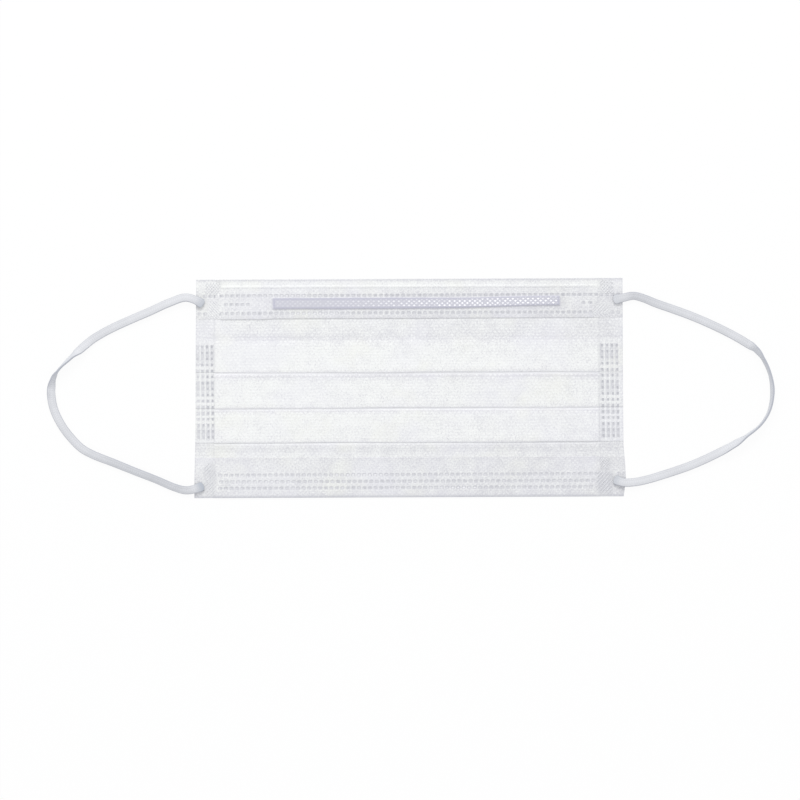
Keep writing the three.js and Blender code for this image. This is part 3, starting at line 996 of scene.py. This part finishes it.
nose_strip_piece = nose_strip()

# %% [markdown]
# ## Films and ridges in the welds
#
# Where the cloth is fused the fibres melt into a clear, slightly shiny film, and the knurled horns leave
# ridges in the corners. Hundreds of them repeat, so Geometry Nodes make them: one tree lays a dished tile on
# every weld point, the other sweeps a small ring along every line of the knurl. The points come from the
# same tables that pressed the cloth, dropped onto the cloth by rays.

# %% Tree that lays the films
def film_tree():
    sizes = {"Width": 1.2 * MM, "Length": 1.0 * MM, "Thickness": 0.08 * MM, "Dish": 0.03 * MM}
    made = Tree("weld_films", {**sizes, "Seed": 7, "Spread": 0.2})
    given = made.given
    size = made.node("ShaderNodeCombineXYZ", [given["Width"], given["Length"], given["Thickness"]]).outputs[0]
    tile = made.node(
        "GeometryNodeMeshCube", {"Size": size, "Vertices X": 5, "Vertices Y": 5, "Vertices Z": 2}
    ).outputs["Mesh"]
    place = made.node("GeometryNodeInputPosition").outputs["Position"]
    flat = made.vector("MULTIPLY", made.vector("DIVIDE", place, size), (2, 2, 0))
    away = made.vector("DOT_PRODUCT", flat, flat)
    up = made.node("ShaderNodeCombineXYZ", {"Z": made.times(away, given["Dish"])}).outputs[0]
    drawn_in = made.scaled(place, made.math("MULTIPLY_ADD", away, -0.09, 1.0))
    tile = made.node("GeometryNodeSetPosition", {"Geometry": tile, "Position": drawn_in, "Offset": up})

    def chance(low, high, extra):
        seed = made.math("ADD", given["Seed"], float(extra))
        node = made.node("FunctionNodeRandomValue", {"Seed": seed}, data_type="FLOAT")
        floats = [socket for socket in node.inputs if socket.type == "VALUE" and socket.enabled]
        floats[0].default_value = low
        floats[1].default_value = high
        return next(socket for socket in node.outputs if socket.enabled)

    jitter = made.times(chance(-1.0, 1.0, 0), given["Spread"])
    points = made.keep(given["Seeds"], "tone", made.math("ADD", made.read("shade"), jitter))
    turn = made.node("ShaderNodeCombineXYZ", {"Z": chance(-0.12, 0.12, 1)}).outputs[0]
    tile = tile.outputs["Geometry"]
    grown = chance(0.88, 1.08, 2)
    laid = {"Points": points, "Instance": tile, "Rotation": turn, "Scale": grown}
    copies = made.node("GeometryNodeInstanceOnPoints", laid)
    made.finish(copies.outputs["Instances"])
    return made


# %% Tree that sweeps the ridges
def ridge_tree():
    made = Tree("weld_ridges", {"Radius": 0.2 * MM, "Ring Points": 6})
    given = made.given
    curve = made.node("GeometryNodeMeshToCurve", {"Mesh": given["Seeds"]}).outputs["Curve"]
    curve = made.node("GeometryNodeSetCurveNormal", {"Curve": curve}).outputs["Curve"]
    share = made.node("GeometryNodeSplineParameter").outputs["Factor"]
    bow = made.math("SINE", made.times(share, math.pi))
    taper = made.math("POWER", made.math("MAXIMUM", bow, 0.05), 0.4)
    ring = {"Resolution": given["Ring Points"], "Radius": given["Radius"]}
    circle = made.node("GeometryNodeCurvePrimitiveCircle", ring)
    sweep = {"Curve": curve, "Profile Curve": circle.outputs["Curve"], "Scale": taper, "Fill Caps": True}
    swept = made.node("GeometryNodeCurveToMesh", sweep)
    made.finish(swept.outputs["Mesh"])
    return made


# %% Drop points onto the cloth
RAY_START = 50 * MM
RIDGE_STEP = 0.3 * MM
PATCH_MARGIN = 1.1


def on_cloth(piece, places, above):
    """x, y and height of the piece's upper surface at each place, and which places it covers."""
    solid = piece.evaluated_get(bpy.context.evaluated_depsgraph_get())
    rows = []
    covered = []
    for number, (x, y) in enumerate(places):
        hit, point, _, _ = solid.ray_cast((x, y, RAY_START), (0, 0, -1))
        if hit:
            rows.append((x, y, point.z + above))
            covered.append(number)
    return rows, covered


def knurl_lines():
    """Polylines of all ridges, as lists of x and y, for the lines that cross each patch."""
    lines = []
    for _, middle, half, kind, pitch, _ in PATCHES:
        middle = np.array(middle) * MM
        half = np.array(half) * MM
        slants = {"rising": (1,), "falling": (-1,), "crossed": (1, -1), "arrow": (0,)}[kind]
        for slant in slants:
            gap = pitch * MM * (math.sqrt(2) if slant or kind == "arrow" else 1)
            span = half.sum() * PATCH_MARGIN
            for offset in np.arange(-span, span, gap):
                run = np.arange(-half[1] * PATCH_MARGIN, half[1] * PATCH_MARGIN, RIDGE_STEP)
                if kind == "arrow":
                    x = offset + np.abs(run + 0.5 * MM)
                else:
                    x = offset + slant * run * 0.9
                points = np.stack([middle[0] + x, middle[1] + run], axis=1)
                inside = reach(points[:, 0], points[:, 1], middle, half) < 1.0
                if inside.sum() >= 3:
                    lines.append(points[inside])
    return lines


# %% Lay the films and the ridges
bpy.context.view_layer.update()
weld_film = bpy.data.materials.new("weld_film")
knurled = bpy.data.materials.new("knurled_cloth")
films = film_tree()
ridges_made = ridge_tree()
FILM_LIFT = 0.02 * MM
RIDGE_LIFT = 0.06 * MM
RIDGE_RADIUS = 0.15 * MM
HEM_FILM = {"Width": 1.0 * MM, "Length": 0.8 * MM, "Thickness": 0.06 * MM, "Dish": 0.02 * MM}
SIDE_FILM = {"Width": 0.9 * MM, "Length": 1.2 * MM, "Thickness": 0.06 * MM, "Dish": 0.02 * MM}
full_side = side_pockets[side_pockets[:, 2] > 0.5]
weld_pieces = []
for film_name, cloth, welds, film_size in (
    ("top_hem_films", top_hem, hem_pockets[hem_pockets[:, 1] > 0], HEM_FILM),
    ("bottom_hem_films", bottom_hem, hem_pockets[hem_pockets[:, 1] < 0], HEM_FILM),
    ("left_weld_films", pleated_sheet, full_side[full_side[:, 0] < 0], SIDE_FILM),
    ("right_weld_films", pleated_sheet, full_side[full_side[:, 0] > 0], SIDE_FILM),
):
    spots, covered = on_cloth(cloth, welds[:, :2], FILM_LIFT)
    values = {"shade": welds[covered, 3]}
    weld_pieces.append(grow(film_name, films, spots, [], values, film_size, weld_film))


def corner_ridges(name, cloth, is_upper):
    points = []
    edges = []
    for polyline in knurl_lines():
        if (polyline[0, 1] > 0) != is_upper:
            continue
        spots, _ = on_cloth(cloth, polyline, RIDGE_LIFT)
        edges += [(len(points) + number, len(points) + number + 1) for number in range(len(spots) - 1)]
        points += spots
    return grow(name, ridges_made, points, edges, {}, {"Radius": RIDGE_RADIUS}, knurled)


weld_pieces.append(corner_ridges("top_corner_ridges", top_hem, True))
weld_pieces.append(corner_ridges("bottom_corner_ridges", bottom_hem, False))

# %% [markdown]
# ## Finishes
#
# All the cloth is spunbond: endless fine fibres laid at random and bonded at a lattice of small points. The
# bonding differs between the outside and the lining, so one shader group draws it from the pitch of the
# lattice, the size of the points and the scale of the fibres, and each cloth gives its own values.

# %% Helpers for shader nodes
def calc(tree, operation, *values):
    """A Math node whose inputs are sockets or numbers, giving its output socket."""
    return add_node(tree, "ShaderNodeMath", values, operation=operation).outputs[0]


def blend(tree, factor, first, second):
    """Mix of two colours, each a socket or a tuple, by a socket or a number."""
    node = add_node(tree, "ShaderNodeMix", [factor], data_type="RGBA")
    colours = [socket for socket in node.inputs if socket.type == "RGBA"]
    for socket, colour in zip(colours, (first, second)):
        fill(socket, colour)
    return next(socket for socket in node.outputs if socket.type == "RGBA")


def ramp(tree, value, limits, results=(0.0, 1.0)):
    """Smooth ramp of a value from one range to another."""
    inputs = dict(zip(("From Min", "From Max", "To Min", "To Max"), (*limits, *results)), Value=value)
    return add_node(tree, "ShaderNodeMapRange", inputs, interpolation_type="SMOOTHSTEP").outputs["Result"]


def noise(tree, place, scale, detail=2.0):
    inputs = {"Vector": place, "Scale": scale, "Detail": detail}
    return add_node(tree, "ShaderNodeTexNoise", inputs).outputs["Fac"]


def carried(tree, name):
    """A value that the mesh carries."""
    return add_node(tree, "ShaderNodeAttribute", attribute_name=name).outputs["Fac"]


def cloth_map(tree):
    return add_node(tree, "ShaderNodeUVMap", uv_map="cloth").outputs["UV"]


def bump(tree, shader, height, strength, distance):
    inputs = {"Strength": strength, "Distance": distance, "Height": height}
    fill(shader.inputs["Normal"], add_node(tree, "ShaderNodeBump", inputs).outputs["Normal"])


def clear_material(name, roughness=0.5, specular=0.5):
    """Emptied material with one shader."""
    material = bpy.data.materials.get(name) or bpy.data.materials.new(name)
    material.use_nodes = True
    tree = material.node_tree
    tree.nodes.clear()
    surface = {"Roughness": roughness, "Specular IOR Level": specular}
    shader = add_node(tree, "ShaderNodeBsdfPrincipled", surface)
    add_node(tree, "ShaderNodeOutputMaterial", {"Surface": shader.outputs[0]})
    return material, tree, shader


# %% Shader group for bonded cloth
def bonded_cloth():
    """Group: a staggered lattice of bond points in a web of fine fibres."""
    tree = bpy.data.node_groups.new("bonded_cloth", "ShaderNodeTree")
    tree.interface.new_socket("Place", in_out="INPUT", socket_type="NodeSocketVector")
    for name, value in (
        ("Pitch Across", 1.85 * MM),
        ("Pitch Along", 2.5 * MM),
        ("Bond Width", 0.6 * MM),
        ("Bond Length", 0.4 * MM),
        ("Fibre Scale", 1500.0),
    ):
        tree.interface.new_socket(name, in_out="INPUT", socket_type="NodeSocketFloat").default_value = value
    for name in ("Bonds", "Fibres", "Clouds", "Height"):
        tree.interface.new_socket(name, in_out="OUTPUT", socket_type="NodeSocketFloat")
    given = add_node(tree, "NodeGroupInput").outputs
    out = add_node(tree, "NodeGroupOutput").inputs
    parts = add_node(tree, "ShaderNodeSeparateXYZ", [given["Place"]])

    def from_point(shift):
        """Distance to the nearest point of one half of the lattice, in a diamond measure."""
        sides = []
        for axis, pitch, size in (("X", "Pitch Across", "Bond Width"), ("Y", "Pitch Along", "Bond Length")):
            cell = calc(tree, "DIVIDE", parts.outputs[axis], given[pitch])
            cell = calc(tree, "FRACT", calc(tree, "ADD", cell, shift + 0.5))
            cell = calc(tree, "ABSOLUTE", calc(tree, "SUBTRACT", cell, 0.5))
            cell = calc(tree, "MULTIPLY", cell, given[pitch])
            sides.append(calc(tree, "DIVIDE", cell, given[size]))
        return calc(tree, "ADD", *sides)

    nearest = calc(tree, "MINIMUM", from_point(0.0), from_point(0.5))
    bonds = ramp(tree, nearest, (1.3, 0.6))

    strands = []
    for turn, seed in ((0.2, 1.0), (1.25, 5.0), (2.3, 9.0)):
        drawn = {"Rotation": (0, 0, turn), "Location": (seed, seed, 0), "Scale": (1.0, 0.35, 1.0)}
        mapping = add_node(tree, "ShaderNodeMapping", {"Vector": given["Place"], **drawn})
        strand = noise(tree, mapping.outputs["Vector"], given["Fibre Scale"])
        strand = calc(tree, "ABSOLUTE", calc(tree, "SUBTRACT", strand, 0.5))
        strands.append(calc(tree, "MULTIPLY_ADD", strand, -8.0, 1.0))
    web = calc(tree, "MAXIMUM", strands[0], calc(tree, "MAXIMUM", strands[1], strands[2]))
    web = calc(tree, "MAXIMUM", web, 0.0)

    clouds = noise(tree, given["Place"], 190.0, 4.0)
    height = calc(tree, "MULTIPLY_ADD", web, 0.35, calc(tree, "MULTIPLY", bonds, -1.0))
    for name, value in (("Bonds", bonds), ("Fibres", web), ("Clouds", clouds), ("Height", height)):
        fill(out[name], value)
    return tree


bonded_group = bonded_cloth()

# %% [markdown]
# ## Nonwoven
#
# Where more layers lie under each other the cloth looks whiter, and where it lies single it looks greyer.
# The pieces carry that, with painted shade under the folds, as the value "white", with "weld" for the fused
# film and the painted shade in the side welds' inner groove, and "wire" for the strip that shows through. The
# wire gets painted glints at the bond points of its middle and painted shade along its borders.

# %% Material of the nonwoven
THIN_CLOTH = (0.607, 0.606, 0.636)
THICK_CLOTH = (0.834, 0.842, 0.828)
BOND = (0.90, 0.905, 0.90)
FUSED = (0.50, 0.505, 0.545)
STRIP_THROUGH = (0.55, 0.55, 0.615)
STRIP_BORDER_SHADE = (0.475, 0.475, 0.565)
PAINTED_CREASE_LIGHT = (0.97, 0.97, 0.98)
LAVENDER = (0.74, 0.735, 0.80)
IVORY = (0.80, 0.805, 0.73)
PAINTED_GLINT = (0.98, 0.98, 1.0)

# how much each layer of the pattern whitens the cloth, then the slope and start of the whole
CLOUD_SHARE = 1.2
FIBRE_SHARE = 0.8
GRAIN_SHARE = 2.2
WHITE_SLOPE = 0.7
WHITE_START = -1.45


def nonwoven(name, pitch, bond_size, bond_tint):
    """Spunbond cloth with its own lattice of bond points."""
    material, tree, shader = clear_material(name, specular=0.25)
    place = cloth_map(tree)
    lattice = dict(zip(("Pitch Across", "Pitch Along", "Bond Width", "Bond Length"), (*pitch, *bond_size)))
    web = add_node(tree, "ShaderNodeGroup", {"Place": place, **lattice}, node_tree=bonded_group).outputs
    weld = carried(tree, "weld")

    whiteness = carried(tree, "white")
    grain = noise(tree, place, 1600.0, 1.0)
    for layer, share in ((web["Clouds"], CLOUD_SHARE), (web["Fibres"], FIBRE_SHARE), (grain, GRAIN_SHARE)):
        whiteness = calc(tree, "MULTIPLY_ADD", layer, share, whiteness)
    whiteness = calc(tree, "MULTIPLY_ADD", whiteness, WHITE_SLOPE, WHITE_START)
    colour = blend(tree, whiteness, THIN_CLOTH, THICK_CLOTH)
    for scale, limits, tint in ((38.0, (0.42, 0.68), LAVENDER), (55.0, (0.5, 0.7), IVORY)):
        hue = ramp(tree, noise(tree, place, scale, 3.0), limits, (0.0, 0.3))
        colour = blend(tree, hue, colour, tint)
    uneven = ramp(tree, noise(tree, place, 420.0), (0.35, 0.62))
    dotted = calc(tree, "MULTIPLY", calc(tree, "MULTIPLY", web["Bonds"], bond_tint), uneven)
    colour = blend(tree, dotted, colour, BOND)
    colour = blend(tree, calc(tree, "MULTIPLY", weld, 0.56), colour, FUSED)
    # painted light along the folds' creases
    colour = blend(tree, carried(tree, "painted_crease_light"), colour, PAINTED_CREASE_LIGHT)
    # the strip seen through the hem, darker at its borders: painted shade along the wire's rounded edges
    strip = blend(tree, carried(tree, "core"), STRIP_BORDER_SHADE, STRIP_THROUGH)
    colour = blend(tree, calc(tree, "MULTIPLY", carried(tree, "wire"), 0.85), colour, strip)

    # painted glints at the bond points over the wire's middle, stronger towards the right
    parts = add_node(tree, "ShaderNodeSeparateXYZ", [place])
    painted_glint_rise = ramp(tree, parts.outputs["X"], (-45 * MM, 35 * MM), (0.2, 1.2))
    broken = ramp(tree, noise(tree, place, 700.0), (0.32, 0.55))
    painted_glint = calc(tree, "MULTIPLY", carried(tree, "core"), web["Bonds"])
    painted_glint = calc(tree, "MULTIPLY", calc(tree, "MULTIPLY", painted_glint, painted_glint_rise), broken)
    colour = blend(tree, painted_glint, colour, PAINTED_GLINT)
    fill(shader.inputs["Base Color"], colour)
    fill(shader.inputs["Roughness"], calc(tree, "MULTIPLY_ADD", weld, -0.3, 0.9))
    fill(shader.inputs["Sheen Weight"], 0.1)
    fill(shader.inputs["Sheen Roughness"], 0.5)
    bump(tree, shader, web["Height"], 0.4, 0.06 * MM)
    return material


outer_cloth = nonwoven("outer_cloth", (1.845 * MM, 2.5 * MM), (0.75 * MM, 0.42 * MM), 0.5)
lining_cloth = nonwoven("lining_cloth", (2.07 * MM, 1.69 * MM), (0.62 * MM, 0.40 * MM), 0.35)
pleated_sheet.data.materials.append(outer_cloth)
top_hem.data.materials.append(lining_cloth)
bottom_hem.data.materials.append(lining_cloth)

# %% [markdown]
# ## Film, ridges, wire and elastic
#
# The film in the welds is the same plastic, melted: greyer, because light passes through it, and shinier.
# Each film carries its own tone, because no two welds come out alike. The wire's coat is a pale plastic. The
# elastic's stitches are real relief, and its material also paints shade into the gaps between them, onto its
# thin edges, which are partly the open edge wales, partly onto its melted ends and where it stands on edge.

# %% Materials of film, ridges, wire and elastic
# name, scale of the grain, two colours, roughness, specular, strength and depth of the relief
GRAINED = (
    ("weld_film", 1500.0, (0.50, 0.505, 0.535), (0.80, 0.80, 0.82), 0.42, 0.35, 0.3, 0.03 * MM),
    ("knurled_cloth", 900.0, (0.59, 0.59, 0.625), (0.90, 0.905, 0.91), 0.5, 0.3, 0.3, 0.04 * MM),
    ("wire_coat", 700.0, (0.60, 0.60, 0.68), (0.72, 0.72, 0.78), 0.4, 0.5, 0.2, 0.02 * MM),
)
YARN = ((0.58, 0.588, 0.61), (0.74, 0.748, 0.775))
YARN_EDGE_SHADE = (0.40, 0.41, 0.46)
YARN_MELT_AND_SHADE = (0.36, 0.40, 0.46)


def grained(name, scale, dark, light, roughness, specular, strength, depth):
    """Plastic with a fine grain in its colour and surface. Only the films carry a tone of their own."""
    _, tree, shader = clear_material(name, roughness, specular)
    grain = noise(tree, add_node(tree, "ShaderNodeTexCoord").outputs["Object"], scale)
    tone = grain
    if name == "weld_film":
        tone = calc(tree, "MULTIPLY_ADD", grain, 0.4, calc(tree, "SUBTRACT", carried(tree, "tone"), 0.2))
    fill(shader.inputs["Base Color"], blend(tree, tone, dark, light))
    bump(tree, shader, grain, strength, depth)


def elastic_finish():
    _, tree, shader = clear_material("elastic_knit", specular=0.2)
    place = cloth_map(tree)
    yarn = noise(tree, place, 4200.0, 3.0)
    patchy = noise(tree, place, 120.0)
    # raised parts of the stitches lighter and the gaps darker: painted light and shade on the stitch relief
    raised = calc(tree, "MULTIPLY", carried(tree, "knit"), 0.28)
    tone = calc(tree, "MULTIPLY_ADD", yarn, 0.5, raised)
    tone = calc(tree, "ADD", tone, calc(tree, "MULTIPLY_ADD", patchy, 0.6, -0.1))
    colour = blend(tree, tone, *YARN)
    # darker thin edges: partly the open edge wales, partly painted shade
    edge = calc(tree, "ABSOLUTE", carried(tree, "side"))
    edge = ramp(tree, edge, (0.78, 1.0), (0.0, 0.75))
    colour = blend(tree, edge, colour, YARN_EDGE_SHADE)
    # darker melted ends and painted shade where the ribbon stands on edge
    colour = blend(tree, carried(tree, "dark"), colour, YARN_MELT_AND_SHADE)
    fill(shader.inputs["Base Color"], colour)
    fill(shader.inputs["Roughness"], calc(tree, "MULTIPLY_ADD", carried(tree, "tip"), -0.35, 0.85))
    fill(shader.inputs["Sheen Weight"], 0.15)
    bump(tree, shader, yarn, 0.4, 0.03 * MM)


elastic_finish()
for row in GRAINED:
    grained(*row)
nose_strip_piece.data.materials.append(bpy.data.materials["wire_coat"])

# %% [markdown]
# ## Table and light
#
# A pure white table under broad soft light. The room gives most of the light, a little cool, and one large
# lamp beyond the mask's top edge gives the bright crests and the thin dark lines under the folds. The
# photograph is a cut-out on pure white, so to the camera the table mostly glows and hardly takes shadows.

# %% Table and light
TABLE_SIZE = 4.0
LAMP_HEIGHT = 0.9
LAMP_BACK = 1.3
ROOM_LIGHT = 0.893
LAMP_POWER = 12.0
LAMP_SIZE = (1.2, 0.5)
LAMP_ASIDE = -0.15
LAMP_COLOUR = (1.0, 0.99, 0.955)
ROOM_COLOUR = (0.968, 0.976, 1.0)
TABLE_WHITE = 0.84
TABLE_GLOW = 0.92
TABLE_SHADED = 0.07


def table():
    mesh = bpy.data.meshes.new("table")
    half = TABLE_SIZE / 2
    corners = [(-half, -half, 0), (half, -half, 0), (half, half, 0), (-half, half, 0)]
    mesh.from_pydata(corners, [], [(0, 1, 2, 3)])
    material, tree, shader = clear_material("table_white", roughness=1.0, specular=0.0)
    seen = add_node(tree, "ShaderNodeLightPath").outputs["Is Camera Ray"]
    fill(shader.inputs["Base Color"], blend(tree, seen, (TABLE_WHITE,) * 3, (TABLE_SHADED,) * 3))
    fill(shader.inputs["Emission Color"], (1.0, 1.0, 1.0))
    fill(shader.inputs["Emission Strength"], calc(tree, "MULTIPLY", seen, TABLE_GLOW))
    mesh.materials.append(material)
    return add_object("table", mesh)


table()
world = bpy.data.worlds.new("room")
world.use_nodes = True
room = world.node_tree.nodes["Background"]
fill(room.inputs["Color"], ROOM_COLOUR)
fill(room.inputs["Strength"], ROOM_LIGHT)
bpy.context.scene.world = world

lamp_data = bpy.data.lights.new("lamp", "AREA")
lamp_data.shape = "RECTANGLE"
lamp_data.size, lamp_data.size_y = LAMP_SIZE
lamp_data.energy = LAMP_POWER
lamp_data.color = LAMP_COLOUR
lamp = add_object("lamp", lamp_data)
lamp.location = (LAMP_ASIDE, LAMP_BACK, LAMP_HEIGHT)
lamp.rotation_euler = (-math.atan2(LAMP_BACK, LAMP_HEIGHT), 0, 0)
bpy.context.scene.view_settings.view_transform = "Standard"

# %% [markdown]
# ## Hand the pieces to the frame
#
# Every piece rides on the mask's one body. The cloth stands for the imported panel, the strip for the packed
# wire and each ribbon for its packed loop.

# %% Attach the pieces and hide the solids
cloth_pieces = [pleated_sheet, top_hem, bottom_hem]
for piece in [*cloth_pieces, *weld_pieces, nose_strip_piece, *(row[0] for row in loops.values())]:
    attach(piece, BODY)
for piece in cloth_pieces:
    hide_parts("pleated_panel")
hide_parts("nose_wire")
for loop_name, node in (("left_loop", "ear_loop_left"), ("right_loop", "ear_loop_right")):
    piece, middle, length = loops[loop_name]
    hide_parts(node)
